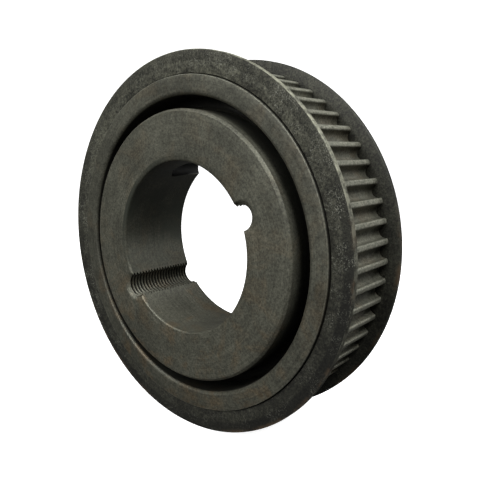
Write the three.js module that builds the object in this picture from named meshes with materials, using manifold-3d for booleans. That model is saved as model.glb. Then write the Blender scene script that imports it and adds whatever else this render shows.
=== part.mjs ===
import * as THREE from "three";
import { mergeVertices } from "three/addons/utils/BufferGeometryUtils.js";
import Module from "manifold-3d";

// A flanged timing pulley with round-bottomed teeth, bored for a taper bush that isn't fitted.
// Millimetres. The axis is Y, through the origin: -Y is the front, where the bore is small,
// and +Y is the back, where the bush goes in. y = 0 is the middle of the teeth.

// Teeth
const TEETH = 60;
const PITCH = 8;
const PITCH_LINE = 0.686; // the belt's pitch line lies this far outside the tips
const TOOTH_DEPTH = 3.45;
const GROOVE_RADIUS = 2.7;
const TIP_ROUND = 0.8;
const TOOTH_ANGLE = 70.8; // the middle of one tooth, in degrees from +X towards +Z
const TIP_RADIUS = (TEETH * PITCH) / (2 * Math.PI) - PITCH_LINE;
const TOOTH_TURN = (2 * Math.PI) / TEETH;

// Flanges: rings of plate, flat against the tooth ends and dished outwards past the tips
const FLANGE_RADIUS = 80.4;
const PLATE = 2.2;
const DISH = 0.45; // how far the outer edge leans away from the belt
const DISH_START = 75.9;
const FLAT_FACE = 18.35; // the plate's outer face where it is flat
const EDGE_ROUND = 0.35;

// Rim, web and hub
const SHOULDER_RADIUS = 70.9; // the flanges are pressed on here
const SEAT_GAP = 0.3;
const HALF_TEETH = FLAT_FACE - PLATE - SEAT_GAP;
const HALF_RIM = 19.5;
const RIM_INNER = 62.75;
const RIM_ROUND = 1.7; // on the rim's inner edge
const RIM_CHAMFER = 0.4; // on its outer edge
const HUB_RADIUS = 57.4;
const HUB_CHAMFER = 1;
const HUB_FRONT = -22;
const HUB_BACK = 16;
const HALF_WEB = 5;
const WEB_FILLET = 2.3;

// Tapered bore, and the half-holes round it for the bush's screws
const BORE_BACK = 38.4;
const TAPER = THREE.MathUtils.degToRad(3);
const BORE_FRONT = BORE_BACK - (HUB_BACK - HUB_FRONT) * Math.tan(TAPER);
const BORE_CHAMFER = 0.7;
const HOLE_RADIUS = 6;
const HOLE_CIRCLE = 37.3; // the half-holes' centres lie on this radius
const SCREW_ANGLES = [25, 215]; // threaded, right through
const JACK_ANGLE = 121.5; // plain, drilled from the back and blind
const JACK_START = -3.4; // its full width ends here, and the drill's point lies ahead of it
const DRILL_POINT = THREE.MathUtils.degToRad(118);

const TURN_STEPS = 72; // facets round a turned surface
const HOLE_STEPS = 28;
const CORNER_STEPS = 2;
const CUT_PAST = 2; // how far a cutter runs past the face it cuts

const wasm = await Module();
wasm.setup();

// A closed mesh as a solid that can be cut.
function solid(geometry) {
  const plain = geometry.clone();
  plain.deleteAttribute("normal");
  plain.deleteAttribute("uv");
  const merged = mergeVertices(plain, 1e-4);
  return new wasm.Manifold(
    new wasm.Mesh({
      numProp: 3,
      vertProperties: merged.attributes.position.array,
      triVerts: new Uint32Array(merged.index.array),
    }),
  );
}

// A solid's surface as a geometry again, with flat facets.
function surface(cut) {
  const { vertProperties, triVerts } = cut.getMesh();
  const shared = new THREE.BufferGeometry();
  shared.setAttribute("position", new THREE.BufferAttribute(vertProperties, 3));
  shared.setIndex(new THREE.BufferAttribute(triVerts, 1));
  const facets = shared.toNonIndexed();
  facets.computeVertexNormals();
  return facets;
}

// A ring turned about Y from its section, [radius, y] points that run anticlockwise.
function turned(section) {
  const points = [...section, section[0]].map(([r, y]) => new THREE.Vector2(r, y));
  return new THREE.LatheGeometry(points, TURN_STEPS);
}

// The points of an arc from angle a to angle b, in radians.
function arc(cx, cy, radius, a, b, steps) {
  return Array.from({ length: steps + 1 }, (_, i) => {
    const t = a + ((b - a) * i) / steps;
    return [cx + radius * Math.cos(t), cy + radius * Math.sin(t)];
  });
}

// The floor of the recess between hub and rim, hub side first: side is -1 at the front, 1 at the back.
function recessFloor(side) {
  const y = side * (HALF_WEB + WEB_FILLET);
  const down = (-side * Math.PI) / 2;
  return [
    ...arc(HUB_RADIUS + WEB_FILLET, y, WEB_FILLET, 2 * down, down, CORNER_STEPS),
    ...arc(RIM_INNER - WEB_FILLET, y, WEB_FILLET, down, 0, CORNER_STEPS),
  ];
}

// The rim's rounded inner edge, from the recess out to the rim's face.
function rimEdge(side) {
  const y = side * (HALF_RIM - RIM_ROUND);
  return arc(RIM_INNER + RIM_ROUND, y, RIM_ROUND, Math.PI, Math.PI * (1 - side / 2), CORNER_STEPS);
}

// The body before its teeth and half-holes are cut: bore, hub, web and rim in one turned ring.
function blank() {
  const overTips = TIP_RADIUS + 1;
  return turned([
    [BORE_FRONT + BORE_CHAMFER, HUB_FRONT],
    [HUB_RADIUS - HUB_CHAMFER, HUB_FRONT],
    [HUB_RADIUS, HUB_FRONT + HUB_CHAMFER],
    ...recessFloor(-1),
    ...rimEdge(-1),
    [SHOULDER_RADIUS - RIM_CHAMFER, -HALF_RIM],
    [SHOULDER_RADIUS, -HALF_RIM + RIM_CHAMFER],
    [SHOULDER_RADIUS, -HALF_TEETH],
    [overTips, -HALF_TEETH],
    [overTips, HALF_TEETH],
    [SHOULDER_RADIUS, HALF_TEETH],
    [SHOULDER_RADIUS, HALF_RIM - RIM_CHAMFER],
    [SHOULDER_RADIUS - RIM_CHAMFER, HALF_RIM],
    ...rimEdge(1).reverse(),
    ...recessFloor(1).reverse(),
    [HUB_RADIUS, HUB_BACK - HUB_CHAMFER],
    [HUB_RADIUS - HUB_CHAMFER, HUB_BACK],
    [BORE_BACK + BORE_CHAMFER, HUB_BACK],
    [BORE_BACK, HUB_BACK - BORE_CHAMFER],
    [BORE_FRONT, HUB_FRONT + BORE_CHAMFER],
  ]);
}

// One tooth space, [across, radius] points: half a circle, led into by a round on each tip.
function toothSpace() {
  const grooveAt = TIP_RADIUS - TOOTH_DEPTH + GROOVE_RADIUS;
  const roundAt = TIP_RADIUS - TIP_ROUND;
  const apart = GROOVE_RADIUS + TIP_ROUND;
  const half = Math.acos((grooveAt ** 2 + roundAt ** 2 - apart ** 2) / (2 * grooveAt * roundAt));
  const across = roundAt * Math.sin(half);
  const up = roundAt * Math.cos(half);
  const touch = Math.atan2(grooveAt - up, across);
  return [
    ...arc(-across, up, TIP_ROUND, Math.PI / 2 + half, touch, 2),
    ...arc(0, grooveAt, GROOVE_RADIUS, Math.PI + touch, 2 * Math.PI - touch, 6).slice(1, -1),
    ...arc(across, up, TIP_ROUND, Math.PI - touch, Math.PI / 2 - half, 2),
  ];
}

// A round bar as long as the whole body, with every tooth space cut in it.
function toothedBar() {
  const firstSpace = THREE.MathUtils.degToRad(TOOTH_ANGLE) + TOOTH_TURN / 2;
  const outline = [];
  for (let n = 0; n < TEETH; n++) {
    const middle = firstSpace + n * TOOTH_TURN;
    for (const [across, radius] of toothSpace()) {
      const x = radius * Math.cos(middle) - across * Math.sin(middle);
      const z = radius * Math.sin(middle) + across * Math.cos(middle);
      outline.push(new THREE.Vector2(x, z));
    }
  }
  return alongAxis(new THREE.Shape(outline), HUB_FRONT - CUT_PAST, -HUB_FRONT + CUT_PAST);
}

// A shape drawn on X and Z, made solid from y = from to y = to.
function alongAxis(shape, from, to) {
  const options = { depth: to - from, bevelEnabled: false, curveSegments: HOLE_STEPS };
  return new THREE.ExtrudeGeometry(shape, options).rotateX(Math.PI / 2).translate(0, to, 0);
}

// The cutter for one half-hole: a round bar that lies half in the bore's wall.
function halfHole(degrees, from, to) {
  const angle = THREE.MathUtils.degToRad(degrees);
  const x = HOLE_CIRCLE * Math.cos(angle);
  const z = HOLE_CIRCLE * Math.sin(angle);
  const circle = new THREE.Shape().absarc(x, z, HOLE_RADIUS, 0, 2 * Math.PI, false);
  return solid(alongAxis(circle, from, to));
}

// The cutter for the blind half-hole: a round bar that ends in the drill's point.
function drilledHole(degrees, from, to) {
  const angle = THREE.MathUtils.degToRad(degrees);
  const point = HOLE_RADIUS / Math.tan(DRILL_POINT / 2);
  const bar = new THREE.CylinderGeometry(HOLE_RADIUS, HOLE_RADIUS, to - from, HOLE_STEPS);
  const tip = new THREE.ConeGeometry(HOLE_RADIUS, point, HOLE_STEPS).rotateX(Math.PI);
  bar.translate(0, (from + to) / 2, 0);
  tip.translate(0, from - point / 2, 0);
  const centre = [HOLE_CIRCLE * Math.cos(angle), 0, HOLE_CIRCLE * Math.sin(angle)];
  return solid(bar).add(solid(tip)).translate(centre);
}

function pulleyBody() {
  let body = solid(blank()).intersect(solid(toothedBar()));
  for (const angle of SCREW_ANGLES)
    body = body.subtract(halfHole(angle, HUB_FRONT - CUT_PAST, HUB_BACK + CUT_PAST));
  return surface(body.subtract(drilledHole(JACK_ANGLE, JACK_START, HUB_BACK + CUT_PAST)));
}

// A flange's section at the back of the pulley, where its outer face looks along +Y.
function flange() {
  const seat = SHOULDER_RADIUS + SEAT_GAP;
  const inside = FLAT_FACE - PLATE;
  return turned([
    [seat, inside],
    [DISH_START, inside],
    [FLANGE_RADIUS - EDGE_ROUND, inside + DISH],
    [FLANGE_RADIUS, inside + DISH + EDGE_ROUND],
    [FLANGE_RADIUS, FLAT_FACE + DISH - EDGE_ROUND],
    [FLANGE_RADIUS - EDGE_ROUND, FLAT_FACE + DISH],
    [DISH_START, FLAT_FACE],
    [seat, FLAT_FACE],
  ]);
}

function blackened(name, geometry, color, roughness) {
  const material = new THREE.MeshStandardMaterial({ color, roughness, metalness: 0.85 });
  const mesh = new THREE.Mesh(geometry, material);
  mesh.name = name;
  return mesh;
}

const pulley = new THREE.Group();
pulley.add(blackened("pulley_body", pulleyBody(), 0x55534a, 0.5));

const backFlange = blackened("rear_flange", flange(), 0x3c3c36, 0.6);
pulley.add(backFlange);

// The front flange is the same ring turned end for end.
const frontFlange = blackened("front_flange", flange(), 0x3c3c36, 0.6);
frontFlange.rotation.z = Math.PI;
pulley.add(frontFlange);

export default pulley;
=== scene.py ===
import math

import bmesh
import bpy
import numpy as np
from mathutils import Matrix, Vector


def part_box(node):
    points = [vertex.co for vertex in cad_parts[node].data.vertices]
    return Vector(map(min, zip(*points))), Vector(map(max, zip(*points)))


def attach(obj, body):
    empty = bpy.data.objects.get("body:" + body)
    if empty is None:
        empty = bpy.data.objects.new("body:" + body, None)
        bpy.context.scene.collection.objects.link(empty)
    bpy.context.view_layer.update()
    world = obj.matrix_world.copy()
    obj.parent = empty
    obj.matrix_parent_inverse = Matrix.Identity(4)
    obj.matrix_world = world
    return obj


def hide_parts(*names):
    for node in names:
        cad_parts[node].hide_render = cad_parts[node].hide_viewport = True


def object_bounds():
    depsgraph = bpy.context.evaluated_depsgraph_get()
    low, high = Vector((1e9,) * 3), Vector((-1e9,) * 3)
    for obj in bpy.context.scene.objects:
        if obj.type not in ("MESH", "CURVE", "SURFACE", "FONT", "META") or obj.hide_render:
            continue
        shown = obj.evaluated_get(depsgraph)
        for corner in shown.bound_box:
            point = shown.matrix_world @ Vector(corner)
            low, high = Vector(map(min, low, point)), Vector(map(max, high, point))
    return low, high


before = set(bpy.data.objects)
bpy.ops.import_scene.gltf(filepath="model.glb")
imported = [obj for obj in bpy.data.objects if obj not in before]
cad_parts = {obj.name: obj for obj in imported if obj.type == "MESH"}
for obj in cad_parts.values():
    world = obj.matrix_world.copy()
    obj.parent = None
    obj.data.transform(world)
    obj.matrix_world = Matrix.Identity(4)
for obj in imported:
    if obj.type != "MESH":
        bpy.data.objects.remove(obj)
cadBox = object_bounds()

# The pulley's axis is Y. Its front looks along -Y, and +Z is up.
# Shapes are worked out in millimetres, and go into the meshes in metres.
mm = 0.001
fullTurn = 2 * math.pi

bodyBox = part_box("pulley_body")
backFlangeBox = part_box("rear_flange")
hubFrontY = bodyBox[0].y / mm
rimBackY = bodyBox[1].y / mm
flangeRadius = backFlangeBox[1].z / mm
flangeBackY = backFlangeBox[1].y / mm


def arcPoints(centre, radius, startDeg, endDeg, count):
    # a circle's points: centre plus radius times cosine and sine of the angle
    a = np.radians(np.linspace(startDeg, endDeg, count))
    return np.stack([centre[0] + radius * np.cos(a), centre[1] + radius * np.sin(a)], 1)


def linePoints(start, end, count):
    # evenly spaced points from start to end, without the end itself
    t = np.arange(count)[:, None] / count
    return np.asarray(start, float) * (1 - t) + np.asarray(end, float) * t


def filletCorner(before, corner, after, radius, count):
    # the arc that touches both sides of a corner: its centre lies on the corner's bisector
    p, q, r = (np.asarray(v, float) for v in (before, corner, after))
    u, v = (p - q) / np.linalg.norm(p - q), (r - q) / np.linalg.norm(r - q)
    half = 0.5 * math.acos(float(np.clip(u @ v, -1, 1)))
    bisector = (u + v) / np.linalg.norm(u + v)
    centre = q + bisector * radius / math.sin(half)
    a, b = q + u * radius / math.tan(half) - centre, q + v * radius / math.tan(half) - centre
    t = np.linspace(0, 1, count)[:, None]
    angle = math.acos(float(np.clip(a @ b / radius ** 2, -1, 1)))
    return centre + (np.sin((1 - t) * angle) * a + np.sin(t * angle) * b) / math.sin(angle)


def spun(radius, y, angle):
    # turns (radius, y) about the axis: x is radius times cosine, z is radius times sine
    radius, y, angle = np.broadcast_arrays(radius, y, angle)
    return np.stack([radius * np.cos(angle), y, radius * np.sin(angle)], -1)


def gridFaces(rows, columns, firstVertex=0, closeRows=False):
    # one four-sided face for each cell of a grid whose columns close on themselves
    i = np.arange(rows if closeRows else rows - 1)[:, None]
    j = np.arange(columns)[None, :]
    below, beside = (i + 1) % rows, (j + 1) % columns
    cell = [i * columns + j, i * columns + beside, below * columns + beside, below * columns + j]
    return np.stack(np.broadcast_arrays(*cell), -1).reshape(-1, 4) + firstVertex


def zipRings(coarse, coarseAngle, fine, fineAngle):
    # joins two rings with different counts: each edge of the fine ring goes to the coarse
    # vertex nearest to it in angle, and a turn to the next coarse vertex adds one more triangle
    middle = (fineAngle + 0.5 * ((np.roll(fineAngle, -1) - fineAngle) % fullTurn)) % fullTurn
    order = np.argsort(coarseAngle % fullTurn)
    sortedAngle = (coarseAngle % fullTurn)[order]
    between = sortedAngle + 0.5 * ((np.roll(sortedAngle, -1) - sortedAngle) % fullTurn)
    steps = between if between[-1] < fullTurn else between[:-1]
    nearest = coarse[order[np.searchsorted(steps, middle) % len(order)]]
    fans = np.stack([fine, np.roll(fine, -1), nearest], -1)
    turned = np.roll(nearest, 1) != nearest
    bridges = np.stack([fine, nearest, np.roll(nearest, 1)], -1)[turned]
    return np.concatenate([fans, bridges])


def meshPiece(name, points, faceSets, smoothAngle=34):
    # puts whole arrays of points and faces into a new mesh object, in metres
    mesh = bpy.data.meshes.new(name)
    sizes = np.concatenate([np.full(len(f), f.shape[1]) for f in faceSets])
    corners = np.concatenate([f.ravel() for f in faceSets])
    mesh.vertices.add(len(points))
    mesh.vertices.foreach_set("co", (points * mm).astype(np.float32).ravel())
    mesh.loops.add(len(corners))
    mesh.loops.foreach_set("vertex_index", corners.astype(np.int32))
    mesh.polygons.add(len(sizes))
    starts = np.concatenate([[0], np.cumsum(sizes)[:-1]])
    mesh.polygons.foreach_set("loop_start", starts.astype(np.int32))
    mesh.update(calc_edges=True)
    mesh.validate()
    turning = bmesh.new()
    turning.from_mesh(mesh)
    bmesh.ops.recalc_face_normals(turning, faces=turning.faces)
    turning.to_mesh(mesh)
    turning.free()
    mesh.shade_smooth()
    mesh.set_sharp_from_angle(angle=math.radians(smoothAngle))
    piece = bpy.data.objects.new(name, mesh)
    bpy.context.scene.collection.objects.link(piece)
    return piece


def turnOutward(piece):
    # the faces of a closed mesh point outwards when its signed volume is above zero
    mesh = piece.data
    mesh.calc_loop_triangles()
    corners = np.zeros(len(mesh.loop_triangles) * 3, np.int32)
    mesh.loop_triangles.foreach_get("vertices", corners)
    co = np.zeros(len(mesh.vertices) * 3)
    mesh.vertices.foreach_get("co", co)
    a, b, c = co.reshape(-1, 3)[corners.reshape(-1, 3)].transpose(1, 0, 2)
    volume = np.einsum("ij,ij->i", a, np.cross(b, c)).sum() / 6
    if volume < 0:
        mesh.flip_normals()
    print("  ", piece.name, len(mesh.loop_triangles), "triangles,", round(abs(volume) / mm ** 3), "mm3")


# the body: bore, hub, web and toothed rim
bodySize = {
    "taperDeg": 3.0,          # each side of the bore leans this much
    "boreBackRadius": 38.4,
    "boreEdgeRound": 0.9,
    "holeRadius": 6.0,        # half-holes for the bush's screws
    "holeCircle": 37.3,
    "screwAngles": (25.0, 215.0),
    "jackAngle": 121.5,
    "jackStart": -3.4,        # the blind half-hole is at full width behind this
    "drillPointDeg": 118.0,   # and ends in a drill's point
    "threadPitch": 25.4 / 14,
    "threadDepth": 1.2,
    "threadFlat": 0.1,        # the flat on a crest or a root, as a share of half a pitch
    "threadFade": 0.3,        # the thread is gone where the bore's edge is rounded by this much
    "hubLength": 38.0,
    "hubRadius": 57.4,
    "hubChamfer": 1.0,
    "hubRound": 0.35,         # on both edges of that chamfer
    "recessOuter": 62.75,
    "rimRound": 1.7,          # on the rim's inner edge
    "halfWeb": 5.0,
    "webFillet": 2.3,
    "shoulderRadius": 70.9,
    "rimChamfer": 0.4,
    "shoulderEnd": 16.13,     # the tooth ends, against the flanges
    "teeth": 60,
    "beltPitch": 8.0,
    "pitchLine": 0.686,       # the belt's pitch line lies this far outside the tips
    "toothAngle": 70.8,       # the middle of one tooth, in degrees from +X towards +Z
    "toothDepth": 3.45,
    "grooveRadius": 2.7,
    "tipRound": 0.8,
    # how finely it is divided
    "holeHalfWidthDeg": 9.6,  # the columns set aside for one half-hole, away from the bore
    "holeColumns": 24,
    "gapStepDeg": 2.6,
    "rowsPerTurn": 14,        # of the thread
    "rowGap": 0.05,           # rows stay this far from the two ends of the drill's point
    "edgeRows": 4,
    "faceRows": 5,
    "faceMargin": 6.0,        # the hub's face is straight lines up to here, inside its edge
    "bandRows": 7,
    "chamferPoints": 4,
    "filletPoints": 7,
    "rimPoints": 8,
    "tipPoints": 7,
    "groovePoints": 15,
    "longSide": 4.0,          # a straight side longer than this has two more points
    "sideReach": 0.8,         # in the first part of it, and this much of its length
    "sidePoints": 3,
}
hubBackY = hubFrontY + bodySize["hubLength"]


def boreRadius(size, y):
    # the radius at the back, less the tangent of the taper for each millimetre towards the front
    return size["boreBackRadius"] - (hubBackY - y) * math.tan(math.radians(size["taperDeg"]))


def columnLayout(size):
    # for each column: which half-hole it belongs to, or the gap after it as -1, -2, -3, and how
    # far it is across that half-hole or along that gap; then its angle on every plain circle
    holes = sorted([(a, True) for a in size["screwAngles"]] + [(size["jackAngle"], False)])
    wide = size["holeHalfWidthDeg"]
    owner, across, plain = [], [], []
    for k, (angle, threaded) in enumerate(holes):
        t = np.linspace(-1, 1, size["holeColumns"] + 1)
        owner.append(np.full(len(t), k))
        across.append(t)
        plain.append(angle + wide * t)
        gap = (holes[(k + 1) % len(holes)][0] - angle) % 360 - 2 * wide
        count = int(round(gap / size["gapStepDeg"]))
        s = np.arange(1, count) / count
        owner.append(np.full(len(s), -1 - k))
        across.append(s)
        plain.append(angle + wide + gap * s)
    return holes, np.concatenate(owner), np.concatenate(across), np.radians(np.concatenate(plain))


def jackApex(size):
    # the drill's tip lies ahead of the full width by the radius over the tangent of half its angle
    return size["jackStart"] - size["holeRadius"] / math.tan(math.radians(size["drillPointDeg"] / 2))


def holeWall(size, y, turn, threaded, grow):
    # a right-hand screw thread: the wall dips inwards once every pitch, and the dip moves
    # along by one pitch in each turn round the hole's own axis; the blind hole has a plain
    # wall that narrows to its tip in a straight line, and its columns widen again past the tip
    if not threaded:
        apex, narrowest = jackApex(size), 0.03
        reach = np.clip(np.abs(y - apex) / (size["jackStart"] - apex), narrowest, 1)
        return size["holeRadius"] * reach + grow + 0 * turn
    flat = size["threadFlat"]
    phase = (y / size["threadPitch"] - turn / fullTurn) % 1
    sharp = np.clip((1 - np.abs(2 * phase - 1) - flat) / (1 - 2 * flat), 0, 1)
    fade = np.clip(1 - grow / size["threadFade"], 0, 1)
    return size["holeRadius"] + grow - size["threadDepth"] * sharp * fade


def boreRows(size, layout, y, grow, jackOpen):
    # the bore's ring at each y: a circle whose radius widens with the taper, bulged outwards
    # by the three half-holes; grow moves the whole ring outwards, for the rounded end edges
    holes, owner, across, plain = layout
    y, grow = np.asarray(y, float)[:, None], np.asarray(grow, float)[:, None]
    jackOpen = np.asarray(jackOpen, bool)[:, None]
    wall = boreRadius(size, y) + grow
    radius, angle = np.zeros((len(y), len(owner))), np.zeros((len(y), len(owner)))
    d, edges = size["holeCircle"], {}
    firstGuess, passes = 1.6, 5
    for k, (deg, threaded) in enumerate(holes):
        limit = {}
        for side in (-1, 1):
            turn = side * firstGuess + 0 * y
            for _ in range(passes):   # closes in on where the hole's wall meets the bore's
                r = holeWall(size, y, turn, threaded, grow)
                turn = side * np.arccos(np.clip((wall ** 2 - d ** 2 - r ** 2) / (2 * d * r), -1, 1))
            limit[side] = turn
        cols = np.flatnonzero(owner == k)
        t = across[cols][None, :]
        turn = np.where(t < 0, -t * limit[-1], t * limit[1])
        r = holeWall(size, y, turn, threaded, grow)
        out, sideways = d + r * np.cos(turn), r * np.sin(turn)
        bulge, lean = np.hypot(out, sideways), np.arctan2(sideways, out)
        bulge[:, [0, -1]] = wall
        if not threaded:
            bulge = np.where(jackOpen, bulge, wall)
        radius[:, cols], angle[:, cols] = bulge, math.radians(deg) + lean
        edges[k] = (lean[:, :1] + math.radians(deg), lean[:, -1:] + math.radians(deg))
    for k in range(len(holes)):
        cols = np.flatnonzero(owner == -1 - k)
        s, start = across[cols][None, :], edges[k][1]
        span = (edges[(k + 1) % len(holes)][0] - start) % fullTurn
        radius[:, cols], angle[:, cols] = wall, start + span * s
    return spun(radius, y, angle)


def hubToRimSection(size, faceY, side):
    # the section from the hub's face to the rim's shoulder, with an arc at every corner;
    # side is -1 at the front, 1 at the back
    hub, chamfer, inner = size["hubRadius"], size["hubChamfer"], size["recessOuter"]
    webY, rimY = side * size["halfWeb"], side * rimBackY
    start = (hub - size["faceMargin"], faceY)
    end = (size["shoulderRadius"], side * size["shoulderEnd"])
    corners = [((hub - chamfer, faceY), size["hubRound"], size["chamferPoints"]),
               ((hub, faceY - side * chamfer), size["hubRound"], size["chamferPoints"]),
               ((hub, webY), size["webFillet"], size["filletPoints"]),
               ((inner, webY), size["webFillet"], size["filletPoints"]),
               ((inner, rimY), size["rimRound"], size["rimPoints"]),
               ((end[0], rimY), size["rimChamfer"], size["chamferPoints"])]
    path = [start] + [corner for corner, rounding, count in corners] + [end]
    points = [np.array([start])]
    for k, (corner, rounding, count) in enumerate(corners):
        points.append(filletCorner(path[k], corner, path[k + 2], rounding, count))
        last, following = points[-1][-1], np.array(path[k + 2], float)
        if np.linalg.norm(following - last) > size["longSide"]:
            reached = last + (following - last) * size["sideReach"]
            points.append(linePoints(last, reached, size["sidePoints"])[1:])
    points.append(np.array([end]))
    return np.concatenate(points)


def toothOutline(size):
    # radius and angle along the toothed edge: a groove is half a circle, a round on each
    # tip leads into it, and a short straight land joins one tip round to the next
    groove, tip, teeth = size["grooveRadius"], size["tipRound"], size["teeth"]
    tipRadius = teeth * size["beltPitch"] / fullTurn - size["pitchLine"]
    grooveAt, roundAt = tipRadius - size["toothDepth"] + groove, tipRadius - tip
    half = math.acos((grooveAt ** 2 + roundAt ** 2 - (groove + tip) ** 2) / (2 * grooveAt * roundAt))
    across, up = roundAt * math.sin(half), roundAt * math.cos(half)
    touch = math.degrees(math.atan2(grooveAt - up, across))
    lean = math.degrees(half)
    points = np.concatenate([
        arcPoints((-across, up), tip, 90 + lean, touch, size["tipPoints"])[:-1],
        arcPoints((0, grooveAt), groove, 180 + touch, 360 - touch, size["groovePoints"]),
        arcPoints((across, up), tip, 180 - touch, 90 - lean, size["tipPoints"])[1:],
    ])
    turn = fullTurn / teeth
    space = math.radians(size["toothAngle"]) + turn / 2 + turn * np.arange(teeth)[:, None]
    angle = space + np.arctan2(points[:, 0], points[:, 1])[None, :]
    radius = np.broadcast_to(np.hypot(points[:, 0], points[:, 1]), angle.shape)
    return radius.ravel(), angle.ravel()


def boreStations(size):
    # where the bore's rows lie along the axis, and how far its end edges are rounded at each:
    # a quarter circle at both ends, and a fixed number of rows in each turn of the thread between
    edge = size["boreEdgeRound"]
    a = np.radians(np.linspace(0, 90, size["edgeRows"]))
    endGrow, endDepth = edge * (1 - np.sin(a)), edge * (1 - np.cos(a))
    step = size["threadPitch"] / size["rowsPerTurn"]
    walls = np.arange(hubFrontY + edge + step, hubBackY - edge - step / 2, step)
    drillEnds = np.array([jackApex(size), size["jackStart"]])
    walls = walls[np.abs(walls[:, None] - drillEnds).min(1) > size["rowGap"]]
    walls = np.sort(np.concatenate([walls, drillEnds]))
    y = np.concatenate([hubFrontY + endDepth, walls, hubBackY - endDepth[::-1]])
    grow = np.concatenate([endGrow, 0 * walls, endGrow[::-1]])
    return y, grow


def faceRows(ring, circle, count):
    # straight lines across the hub's face, from the bore's edge to a plain circle
    t = (np.arange(1, count) / count)[:, None, None]
    return ring[None] * (1 - t) + circle[None] * t


def makeBody(size):
    # the rings of front rim, hub, bore, hub and back rim, in one grid, and then the toothed band
    layout = columnLayout(size)
    plain = layout[3]
    front = hubToRimSection(size, hubFrontY, -1)
    back = hubToRimSection(size, hubBackY, 1)
    y, grow = boreStations(size)
    bore = boreRows(size, layout, y, grow, y > jackApex(size) + size["rowGap"] / 2)
    rows = np.concatenate([
        spun(front[::-1, :1], front[::-1, 1:], plain[None]),
        faceRows(bore[0], spun(*front[0], plain), size["faceRows"])[::-1],
        bore,
        faceRows(bore[-1], spun(*back[0], plain), size["faceRows"]),
        spun(back[:, :1], back[:, 1:], plain[None]),
    ])

    # the toothed band is zipped to the shoulders at both ends
    toothR, toothA = toothOutline(size)
    bandY = np.linspace(-size["shoulderEnd"], size["shoulderEnd"], size["bandRows"])
    band = spun(toothR[None], bandY[:, None], toothA[None])
    points = np.concatenate([rows.reshape(-1, 3), band.reshape(-1, 3)])
    columns, count = len(plain), len(toothR)
    bandStart = len(rows) * columns
    frontRing, backRing = np.arange(columns), bandStart - columns + np.arange(columns)
    frontTeeth, backTeeth = bandStart + np.arange(count), len(points) - count + np.arange(count)
    faces = [
        gridFaces(len(rows), columns),
        gridFaces(len(bandY), count, bandStart)[:, ::-1],
        zipRings(frontRing, plain, frontTeeth, toothA),
        zipRings(backRing, plain, backTeeth, toothA)[:, ::-1],
    ]
    return meshPiece("pulleyBody", points, faces)


# the flanges: plate rings, flat against the teeth and dished outwards past the tips
flangeSize = {
    "plate": 2.2,
    "dish": 0.45,
    "dishStart": 75.9,
    "bendRound": 1.0,
    "edgeRound": 0.3,
    "seatRound": 0.25,        # on the hole's outer edge
    "seatBackRound": 0.15,    # and on the one against the teeth
    "seatGap": 0.3,           # between the ring's hole and the rim's shoulder
    "inset": 0.02,            # the outer edge stays this far inside the CAD solid's
    "waviness": 0.03,         # the pressed edge wanders by this much, times the two below
    "waveMiddle": 1.6,
    "waveHeight": 0.5,
    "waves": ((3, 1.0, 0.4), (7, 0.6, 2.1), (13, 0.4, 0.0)),   # how many round the ring, height, start
    "columns": 480,
    "seatPoints": 3,
    "bendPoints": 5,
}


def makeFlange(name, size, side):
    # the section is carried once round the axis; the outer edge wanders by a few slow sines
    seat = bodySize["shoulderRadius"] + size["seatGap"]
    outer, lean, start = flangeRadius - size["inset"], size["dish"], size["dishStart"]
    face = flangeBackY - lean
    inside = face - size["plate"]
    bend, edge = (size["bendRound"], size["bendPoints"]), (size["edgeRound"], size["bendPoints"])
    corners = [((seat, inside), size["seatBackRound"], size["seatPoints"]), ((start, inside), *bend),
               ((outer, inside + lean), *edge), ((outer, face + lean), *edge),
               ((start, face), *bend), ((seat, face), size["seatRound"], size["seatPoints"])]
    path = [corner for corner, rounding, count in corners]
    section = np.concatenate([
        filletCorner(path[k - 1], corner, path[(k + 1) % len(path)], rounding, count)
        for k, (corner, rounding, count) in enumerate(corners)])
    angle = np.linspace(0, fullTurn, size["columns"], endpoint=False)
    wander = sum(height * np.sin(count * angle + phase) for count, height, phase in size["waves"])
    outward = np.clip((section[:, :1] - start) / (outer - start), 0, 1) ** 2
    drop = size["waviness"] * outward * (size["waveMiddle"] + wander[None] * size["waveHeight"])
    points = spun(section[:, :1], side * (section[:, 1:] - drop), angle[None])
    faces = gridFaces(len(section), len(angle), closeRows=True)
    return meshPiece(name, points.reshape(-1, 3), [faces if side > 0 else faces[:, ::-1]])


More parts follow.
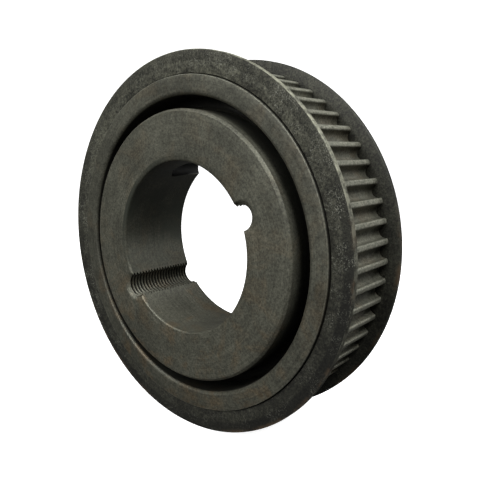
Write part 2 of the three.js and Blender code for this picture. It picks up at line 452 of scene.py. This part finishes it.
class Nodes:
    # a short way to write a material: every call adds a node and gives its first output
    def __init__(self, name):
        self.material = bpy.data.materials.new(name)
        self.material.use_nodes = True
        self.tree = self.material.node_tree
        self.shader = self.tree.nodes["Principled BSDF"]
        self.object = self.add("ShaderNodeTexCoord").outputs["Object"]
        self.x, self.y, self.z = self.add("ShaderNodeSeparateXYZ", {0: self.object}).outputs
        self.radius = self.length(self.x, self.z)     # from the pulley's axis
        self.offMiddle = self.maths("ABSOLUTE", self.y)

    def add(self, kind, inputs=None, **settings):
        node = self.tree.nodes.new(kind)
        for key, value in settings.items():
            setattr(node, key, value)
        for key, value in (inputs or {}).items():
            self.feed(node.inputs[key], value)
        return node

    def feed(self, socket, value):
        if hasattr(value, "links"):
            self.tree.links.new(value, socket)
        else:
            socket.default_value = value

    def maths(self, operation, a, b=0.0, clamp=False):
        return self.add("ShaderNodeMath", {0: a, 1: b}, operation=operation, use_clamp=clamp).outputs[0]

    def plus(self, a, b):
        return self.maths("ADD", a, b)

    def minus(self, a, b):
        return self.maths("SUBTRACT", a, b)

    def times(self, product, *others):
        for value in others:
            product = self.maths("MULTIPLY", product, value)
        return product

    def inverse(self, mask):
        return self.minus(1.0, mask)

    def length(self, a, b):
        # the square root of a squared plus b squared
        return self.maths("SQRT", self.plus(self.times(a, a), self.times(b, b)))

    def between(self, levels, mask):
        # the first level where the mask is 0, the second where it is 1
        return self.plus(levels[0], self.times(mask, levels[1] - levels[0]))

    def noise(self, vector, scale, detail=4.0, rough=0.55, distortion=0.0):
        node = self.add("ShaderNodeTexNoise", {"Vector": vector, "Scale": scale, "Detail": detail,
                                               "Roughness": rough, "Distortion": distortion})
        return node.outputs["Fac"]

    def ramp(self, value, low, high):
        # 0 at low, 1 at high, and smooth between; low may be the larger
        return self.add("ShaderNodeMapRange", {"Value": value, "From Min": low, "From Max": high},
                        interpolation_type="SMOOTHSTEP", clamp=True).outputs["Result"]

    def band(self, value, low, high, soft):
        # 1 between low and high, with soft shoulders
        rise = self.ramp(value, low - soft, low + soft)
        fall = self.ramp(value, high - soft, high + soft)
        return self.times(rise, self.inverse(fall))

    def mix(self, amount, a, b, blend="MIX"):
        node = self.add("ShaderNodeMix", data_type="RGBA", blend_type=blend)
        for socket, value in ((node.inputs[0], amount), (node.inputs[6], a), (node.inputs[7], b)):
            self.feed(socket, value)
        return node.outputs[2]

    def vector(self, x, y, z):
        return self.add("ShaderNodeCombineXYZ", {0: x, 1: y, 2: z}).outputs[0]

    def shade(self, colour, level):
        # the colour times a grey
        return self.mix(1.0, colour, self.vector(level, level, level), "MULTIPLY")

    def finish(self, colour, roughness, height, bumpDistance, **fixed):
        bump = self.add("ShaderNodeBump", {"Height": height, "Strength": 1.0, "Distance": bumpDistance})
        self.feed(self.shader.inputs["Base Color"], colour)
        self.feed(self.shader.inputs["Roughness"], roughness)
        self.feed(self.shader.inputs["Normal"], bump.outputs["Normal"])
        for key, value in fixed.items():
            self.feed(self.shader.inputs[key], value)
        return self.material


def olive(level, red=1.0, blue=0.76):
    # a grey that leans to olive: a little less blue than green
    return (level * red, level, level * blue, 1)


# blackened iron, for the body
ironLook = {
    "dark": olive(0.066),
    "light": olive(0.122),
    "rust": (0.126, 0.093, 0.053, 1),
    "worn": olive(0.27, 0.99, 0.80),
    # near black for painted shade in the holes, the seams, the deep ring and the hub's side wall; it also
    # darkens the rim's face a little
    "shadeBlack": (0.0045, 0.0050, 0.0044, 1),
    "greenish": (0.048, 0.053, 0.041, 1),
    "metallic": 0.5,
    "roughness": (0.42, 0.60),
    "smoother": 0.1,                       # worn lands and the bore are less rough by this
    "bumpDistance": 0.00005,
    # noises: scale in turns for each metre, detail, roughness, distortion
    "cloudNoise": (42.0, 5.0, 0.62, 0.5),
    "mottleNoise": (330.0, 4.0, 0.62, 0.0),
    "grainNoise": (1150.0, 3.0, 0.75, 0.0),
    "fleckNoise": (1900.0, 2.0, 0.6, 0.0),
    "rustNoise": (60.0, 6.0, 0.68, 0.9),
    "wearNoise": (520.0, 4.0, 0.7, 0.0),
    "boreShadeNoise": (48.0, 4.0, 0.6, 0.6),
    "ringNoise": (1.0, 3.0, 0.7, 0.0),
    "ringsPerMetre": 1700.0,
    "ringDrift": 25.0,                     # how fast a ring changes from one side to the other
    # the noise levels where each starts to show, and where it is full
    "cloudRange": (0.34, 0.68),
    "mottleRange": (0.32, 0.70),
    "rustRange": (0.47, 0.66),
    "wearRange": (0.34, 0.66),
    "fleckRange": (0.66, 0.76),
    "boreShadeRange": (0.40, 0.62),
    # places, in metres from the axis, along it, or across the pulley
    "teethFrom": (0.0712, 0.0719),
    "landsFrom": (0.0748, 0.0756),
    "endFaceFrom": (0.0187, 0.0191),
    "cornerBand": (0.07045, 0.07100, 0.0001),   # the rim's outer corner; the third is how soft it is
    "boreTo": (0.0388, 0.0385),
    "shadedBoreFromX": (0.012, -0.03),
    "shadedBoreFromZ": (-0.03, 0.0),
    "rustFromZ": (0.02, -0.07),
    "rimFace": (0.0630, 0.0709, 0.0002),
    "seamFrom": (0.0707, 0.07082),
    "seamTo": (0.0712, 0.0710),
    "seamDepth": (0.0193, 0.0190),
    "recessBand": (0.0578, 0.0636, 0.0004),     # the deep ring between hub and rim
    "recessDepth": (0.0190, 0.0178),
    "hubWallBand": (0.0570, 0.0578, 0.0003),
    "hubWallDepth": (0.0208, 0.0120),
    # strengths
    "cloudShare": 0.6,
    "mottleShare": 0.3,
    "rustHighLow": (0.25, 0.70),
    "landWear": (0.50, 0.75),
    "cornerWear": 0.2,
    "sandTurnedTeeth": (2.6, 3.3),         # on turned faces, and between the teeth
    "flecks": 0.3,
    "ringShade": 1.15,
    "brightness": 1.05,
    "boreShadeLevels": (0.35, 0.95),
    "holeShade": 0.97,
    "crestPaling": 0.3,
    # how far out the thread's roots and crests are shaded, in thread depths inside the hole's radius
    "rootFrom": (0.78, 0.22),
    "crestFrom": (1.15, 1.05),
    "crestTo": (0.80, 0.98),
    "soft": 0.0002,                        # metres over which a hole's shading ends
    "rimShade": 0.16,
    "seamShade": 0.85,
    "recessShade": 0.85,
    "hubWallShade": 0.8,
    "ringBump": 0.5,
    "grainBump": (0.7, 1.6),
}


def nearHole(n, size, degrees):
    # how far a point is from the axis of one half-hole, in metres
    angle = math.radians(degrees)
    dx = n.minus(n.x, size["holeCircle"] * mm * math.cos(angle))
    dz = n.minus(n.z, size["holeCircle"] * mm * math.sin(angle))
    return n.length(dx, dz)


def holeShadeAndCrests(n, colour, look, size):
    # painted shade: the thread's roots and the blind half-hole are darkened towards near black, and the
    # crests are made paler
    holeR, depth, apex = size["holeRadius"] * mm, size["threadDepth"] * mm, jackApex(size) * mm
    inset, soft = size["boreEdgeRound"] * mm, look["soft"]
    slope = math.tan(math.radians(size["taperDeg"]))
    wallR = n.plus(n.times(n.y, slope), boreRadius(size, 0) * mm)
    pastWall = n.minus(n.radius, wallR)
    first, second = size["screwAngles"]
    screw = n.maths("MINIMUM", nearHole(n, size, first), nearHole(n, size, second))
    inScrew = n.times(n.ramp(screw, holeR + soft, holeR + soft / 2), n.ramp(pastWall, soft / 10, soft),
                      n.band(n.y, hubFrontY * mm + inset, hubBackY * mm - inset, soft))
    # painted shade in the thread's roots
    root = n.ramp(screw, *(holeR - depth * share for share in look["rootFrom"]))
    colour = n.mix(n.times(inScrew, root, look["holeShade"]), colour, look["shadeBlack"])
    crest = n.times(n.ramp(screw, *(holeR - depth * share for share in look["crestTo"])),
                    n.ramp(screw, *(holeR - depth * share for share in look["crestFrom"])))
    colour = n.mix(n.times(crest, look["crestPaling"]), colour, look["worn"])
    # painted shade filling the blind half-hole
    jack = nearHole(n, size, size["jackAngle"])
    inJack = n.times(n.ramp(jack, holeR + soft, holeR + soft / 4), n.ramp(pastWall, soft / 2, soft * 2),
                     n.ramp(n.y, apex - soft * 1.5, apex))
    return n.mix(n.times(inJack, look["holeShade"]), colour, look["shadeBlack"])


def blackenedIron(look, size):
    n = Nodes("blackenedIron")
    # fine turning rings: noise that varies with the distance from the axis and along it
    rings = n.noise(n.vector(n.times(n.radius, look["ringsPerMetre"]), n.times(n.y, look["ringsPerMetre"]),
                             n.times(n.x, look["ringDrift"])), *look["ringNoise"])
    cloud = n.noise(n.object, *look["cloudNoise"])
    mottle = n.noise(n.object, *look["mottleNoise"])
    grain = n.noise(n.object, *look["grainNoise"])
    onTeeth = n.ramp(n.radius, *look["teethFrom"])
    notTeeth = n.inverse(onTeeth)
    endFace = n.ramp(n.offMiddle, *look["endFaceFrom"])
    inBore = n.ramp(n.radius, *look["boreTo"])
    tone = n.plus(n.times(n.ramp(cloud, *look["cloudRange"]), look["cloudShare"]),
                  n.times(n.ramp(mottle, *look["mottleRange"]), look["mottleShare"]))
    colour = n.mix(tone, look["dark"], look["light"])
    # thin brown patches, more of them low on the pulley
    patch = n.ramp(n.noise(n.object, *look["rustNoise"]), *look["rustRange"])
    brown = n.times(patch, n.between(look["rustHighLow"], n.ramp(n.z, *look["rustFromZ"])))
    colour = n.mix(brown, colour, look["rust"])
    # tooth lands and the turned corners are rubbed paler
    rubbed = n.ramp(n.noise(n.object, *look["wearNoise"]), *look["wearRange"])
    landWear = n.times(n.ramp(n.radius, *look["landsFrom"]), n.between(look["landWear"], rubbed))
    cornerWear = n.times(n.band(n.radius, *look["cornerBand"]), endFace, look["cornerWear"])
    colour = n.mix(n.maths("MAXIMUM", landWear, cornerWear), colour, look["worn"])
    # sandy grain, stronger between the teeth, and pale flecks
    sand = n.times(n.minus(grain, 0.5), n.between(look["sandTurnedTeeth"], onTeeth))
    colour = n.shade(colour, n.plus(1.0, sand))
    flecks = n.times(n.ramp(n.noise(n.object, *look["fleckNoise"]), *look["fleckRange"]), look["flecks"])
    colour = n.mix(flecks, colour, look["worn"])
    ringShade = n.times(n.minus(rings, 0.5), notTeeth, look["ringShade"])
    colour = n.shade(colour, n.plus(look["brightness"], ringShade))
    # painted shade: the bore is darker towards its upper left, tinted a little green
    shadedBoreSide = n.times(n.ramp(n.x, *look["shadedBoreFromX"]), n.ramp(n.z, *look["shadedBoreFromZ"]))
    blot = n.ramp(n.noise(n.object, *look["boreShadeNoise"]), *look["boreShadeRange"])
    paintedBoreShade = n.times(inBore, shadedBoreSide, n.between(look["boreShadeLevels"], blot))
    colour = n.mix(paintedBoreShade, colour, look["greenish"])
    colour = holeShadeAndCrests(n, colour, look, size)
    # the rim's face is a little darker than the hub's, and the corner where each flange meets the rim is
    # darkened as painted shade
    onRim = n.times(n.band(n.radius, *look["rimFace"]), endFace, look["rimShade"])
    colour = n.mix(onRim, colour, look["shadeBlack"])
    # painted shade in the corner between the rim's shoulder and each flange
    paintedSeamShade = n.times(n.ramp(n.radius, *look["seamFrom"]), n.ramp(n.radius, *look["seamTo"]),
                   n.ramp(n.offMiddle, *look["seamDepth"]), look["seamShade"])
    colour = n.mix(paintedSeamShade, colour, look["shadeBlack"])
    # painted shade: the deep ring is darkened, and the hub's side wall darkens with depth
    paintedRecessShade = n.times(n.band(n.radius, *look["recessBand"]), n.ramp(n.offMiddle, *look["recessDepth"]),
                   look["recessShade"])
    colour = n.mix(paintedRecessShade, colour, look["shadeBlack"])
    paintedHubWallShade = n.times(n.band(n.radius, *look["hubWallBand"]), n.ramp(n.offMiddle, *look["hubWallDepth"]),
                       look["hubWallShade"])
    colour = n.mix(paintedHubWallShade, colour, look["shadeBlack"])
    rough = n.between(look["roughness"], cloud)
    rough = n.minus(rough, n.times(n.plus(landWear, inBore), look["smoother"]))
    height = n.plus(n.times(rings, notTeeth, look["ringBump"]),
                    n.times(grain, n.between(look["grainBump"], onTeeth)))
    return n.finish(colour, rough, height, look["bumpDistance"], Metallic=look["metallic"])


# blackened plate, for the flanges
plateLook = {
    "dark": olive(0.010, 1.0, 0.75),
    "light": olive(0.108, 1.0, 0.73),
    "scuff": olive(0.24, 0.99, 0.82),
    "edge": olive(0.34),
    "brown": (0.105, 0.072, 0.042, 1),
    "metallic": 0.4,
    "roughness": (0.46, 0.71),
    "bumpDistance": 0.00007,
    # noises: scale in turns for each metre, detail, roughness, distortion
    "cloudNoise": (75.0, 6.0, 0.68, 0.7),
    "mottleNoise": (700.0, 4.0, 0.75, 0.8),
    "sandNoise": (1500.0, 3.0, 0.7, 0.0),
    "curlNoise": (640.0, 3.0, 0.6, 3.0),
    "scuffNoise": (110.0, 3.0, 0.6, 0.0),
    "wearNoise": (260.0, 5.0, 0.75, 0.0),
    "stainNoise": (75.0, 4.0, 0.6, 0.0),
    # the noise levels where each starts to show, and where it is full
    "cloudRange": (0.30, 0.72),
    "mottleRange": (0.34, 0.70),
    "curlRange": (0.54, 0.66),
    "scuffRange": (0.42, 0.58),
    "wearRange": (0.38, 0.60),
    "stainRange": (0.47, 0.62),
    # places, in metres from the axis, along it, or across the pulley
    "frontFrom": (0.0, -0.01),
    "topLightUp": (-0.06, 0.075),
    "topLightLean": 0.06,                     # the paler side leans a little to the right
    "rightFrom": (0.02, 0.07),
    "leftFrom": (-0.045, -0.07),
    "lowerFromZ": (0.035, 0.0),
    "dishFrom": (0.0756, 0.0767),
    "upperRight": (0.77, 0.64),            # the way that the upper right lies, and where it starts
    "upperRightFrom": (0.02, 0.075),
    "edgeFrom": (0.07995, 0.08028),
    "wornFromZ": (-0.01, 0.05),
    "stainFrom": (0.0785, 0.0803),
    "stainFromZ": (0.035, -0.01),
    # strengths
    "cloudShare": 0.5,
    "mottleShare": 0.5,
    "levelBackFront": (0.38, 1.02),
    "lowerRightShade": 0.22,
    "dishShade": (0.30, 0.38),             # on the left, and on the right
    "contrast": 1.3,
    "sand": 4.2,
    "scuffs": (0.3, 1.0),
    "edgeWear": (0.12, 0.87),
    "edgeLowHigh": (0.3, 1.0),
    "stain": 0.7,
    "sandBump": 0.6,
}


def blackenedPlate(look):
    n = Nodes("blackenedPlate")
    mottle = n.noise(n.object, *look["mottleNoise"])
    sand = n.noise(n.object, *look["sandNoise"])
    cloud = n.noise(n.object, *look["cloudNoise"])
    front = n.ramp(n.y, *look["frontFrom"])
    right = n.ramp(n.x, *look["rightFrom"])
    tone = n.plus(n.times(n.ramp(cloud, *look["cloudRange"]), look["cloudShare"]),
                  n.times(n.ramp(mottle, *look["mottleRange"]), look["mottleShare"]))
    # painted light and shade: the front ring is paler towards its top and darker to its lower right, and
    # the back ring is darker all over
    paintedTopLight = n.ramp(n.plus(n.times(n.x, look["topLightLean"]), n.z), *look["topLightUp"])
    level = n.between(look["levelBackFront"], n.times(paintedTopLight, front))
    paintedLowerRightShade = n.times(right, n.ramp(n.z, *look["lowerFromZ"]), front, look["lowerRightShade"])
    # painted shade on the front ring's dished outer band, a little heavier on the right
    paintedDishShade = n.times(n.ramp(n.radius, *look["dishFrom"]), n.between(look["dishShade"], right), front)
    level = n.minus(n.minus(level, paintedLowerRightShade), paintedDishShade)
    amount = n.maths("MULTIPLY", tone, n.times(level, look["contrast"]), clamp=True)
    colour = n.mix(amount, look["dark"], look["light"])
    colour = n.shade(colour, n.plus(1.0, n.times(n.minus(sand, 0.5), look["sand"])))
    # curly pale scuffs, mostly on the upper right and the left of the front ring
    acrossX, acrossZ = look["upperRight"]
    upperRight = n.ramp(n.plus(n.times(n.x, acrossX), n.times(n.z, acrossZ)), *look["upperRightFrom"])
    worst = n.maths("MAXIMUM", upperRight, n.ramp(n.x, *look["leftFrom"]))
    curl = n.ramp(n.noise(n.object, *look["curlNoise"]), *look["curlRange"])
    scuffed = n.ramp(n.noise(n.object, *look["scuffNoise"]), *look["scuffRange"])
    colour = n.mix(n.times(curl, scuffed, n.between(look["scuffs"], worst), front), colour, look["scuff"])
    # the sheared outer edge is rubbed bright on the front ring, and browned in places
    worn = n.ramp(n.noise(n.object, *look["wearNoise"]), *look["wearRange"])
    edgeWear = n.times(n.ramp(n.radius, *look["edgeFrom"]), front, n.between(look["edgeWear"], worn),
                       n.between(look["edgeLowHigh"], n.ramp(n.z, *look["wornFromZ"])))
    colour = n.mix(edgeWear, colour, look["edge"])
    stain = n.times(n.ramp(n.noise(n.object, *look["stainNoise"]), *look["stainRange"]), look["stain"],
                    n.ramp(n.radius, *look["stainFrom"]), n.ramp(n.z, *look["stainFromZ"]))
    colour = n.mix(stain, colour, look["brown"])
    height = n.plus(mottle, n.times(sand, look["sandBump"]))
    rough = n.between(look["roughness"], mottle)
    return n.finish(colour, rough, height, look["bumpDistance"], Metallic=look["metallic"])


# the camera
viewPoint = {
    "azimuth": 40.43,
    "elevation": 9.80,
    "distance": 240.46,
    "aimRight": 11.254,  # the camera aims a little to the right of the axis
    "aimUp": 0.565,
    "lens": 39.854,
    "sensor": 36,
}


def awayFrom(turnDeg, heightDeg):
    # the way from the pulley to something that stands at this turn and height, 1 long
    a, e = math.radians(turnDeg), math.radians(heightDeg)
    return Vector((math.sin(a) * math.cos(e), -math.cos(a) * math.cos(e), math.sin(e)))


def makeCamera(place):
    a = math.radians(place["azimuth"])
    back = awayFrom(place["azimuth"], place["elevation"])
    right = Vector((math.cos(a), math.sin(a), 0))
    up = back.cross(right)
    data = bpy.data.cameras.new("camera")
    data.sensor_width = place["sensor"]
    data.lens = place["lens"]
    data.clip_start, data.clip_end = 0.01, 20
    camera = bpy.data.objects.new("camera", data)
    camera.location = (back * place["distance"] + right * place["aimRight"] + up * place["aimUp"]) * mm
    camera.rotation_euler = back.to_track_quat("Z", "Y").to_euler()
    bpy.context.scene.collection.objects.link(camera)
    bpy.context.scene.camera = camera


# the pale sweep that the pulley stands on
sweepSize = {
    "rings": (1.0, 250.0, 600.0),
    "flatRadius": 900.0,
    "bend": 700.0,
    "wall": 900.0,
    "columns": 96,
    "bendPoints": 24,
    "smoothAngle": 60,
    "colours": ((0.86, 0.86, 0.86, 1), (0.9, 0.9, 0.9, 1)),
    "noise": (3.0, 2.0),
    "roughness": (0.8, 0.9),
    "bumpDistance": 0.0001,
    "glow": 0.9,
}


def makeSweep(size):
    # a shallow bowl: flat round the pulley, then a quarter circle up into an upright wall
    bend = arcPoints((size["flatRadius"], size["bend"]), size["bend"], -90, 0, size["bendPoints"])
    flat = np.array([[radius, 0.0] for radius in size["rings"]])
    top = np.array([[size["flatRadius"] + size["bend"], size["bend"] + size["wall"]]])
    section = np.concatenate([flat, bend, top])
    floorZ = cadBox[0].z / mm
    angle = np.linspace(0, fullTurn, size["columns"], endpoint=False)
    points = spun(section[:, :1], section[:, 1:] + floorZ, angle[None])[..., [0, 2, 1]]
    centre = np.arange(size["columns"])[None, :]
    faces = [gridFaces(len(section), size["columns"]), centre]
    sweep = meshPiece("sweep", points.reshape(-1, 3), faces, size["smoothAngle"])
    paper = Nodes("palePaper")
    tone = paper.noise(paper.object, *size["noise"])
    colour = paper.mix(tone, *size["colours"])
    paper.finish(colour, paper.between(size["roughness"], tone), tone, size["bumpDistance"])
    paper.shader.inputs["Emission Color"].default_value = (1, 1, 1, 1)
    paper.shader.inputs["Emission Strength"].default_value = size["glow"]
    sweep.data.materials.append(paper.material)
    sweep.visible_diffuse = False   # a lit table that throws no light back
    sweep.visible_glossy = False


lightPlan = {
    "distance": 1.1,        # every lamp stands this far from the pulley's middle, and faces it
    # name: angle round from the camera's side, height angle, diameter in metres, power in watts
    "lamps": {"lowRight": (85, 10, 0.5, 1.2),
              "keyAbove": (30, 52, 0.45, 9.4),
              "leftFill": (316, 30, 0.8, 10.2),
              "rightRim": (92, 50, 0.45, 4.6),
              "leftTop": (270, 52, 0.5, 2.6)},
    "sky": 0.08,
}


def makeLights(plan):
    for name, (turn, height, width, power) in plan["lamps"].items():
        away = awayFrom(turn + viewPoint["azimuth"], height)
        data = bpy.data.lights.new(name, "AREA")
        data.shape = "DISK"
        data.size = width
        data.energy = power
        lamp = bpy.data.objects.new(name, data)
        lamp.location = away * plan["distance"]
        lamp.rotation_euler = away.to_track_quat("Z", "Y").to_euler()
        bpy.context.scene.collection.objects.link(lamp)
    world = bpy.data.worlds.new("softSky")
    world.use_nodes = True
    sky = world.node_tree.nodes["Background"]
    sky.inputs["Color"].default_value = (1, 1, 1, 1)
    sky.inputs["Strength"].default_value = plan["sky"]
    bpy.context.scene.world = world
    bpy.context.scene.view_settings.view_transform = "Standard"


iron, plate = blackenedIron(ironLook, bodySize), blackenedPlate(plateLook)
print("finishes made")

body = makeBody(bodySize)
frontFlange = makeFlange("frontFlange", flangeSize, -1)
rearFlange = makeFlange("rearFlange", flangeSize, 1)
for piece, node, finish, slotName in (
        (body, "pulley_body", iron, "blackened_iron"),
        (frontFlange, "front_flange", plate, "blackened_plate"),
        (rearFlange, "rear_flange", plate, "blackened_plate")):
    turnOutward(piece)
    piece.data.materials.append(finish)
    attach(piece, "root")
    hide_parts(node)
print("body and flanges made")

makeSweep(sweepSize)
makeLights(lightPlan)
makeCamera(viewPoint)
print("stage, light and camera made")
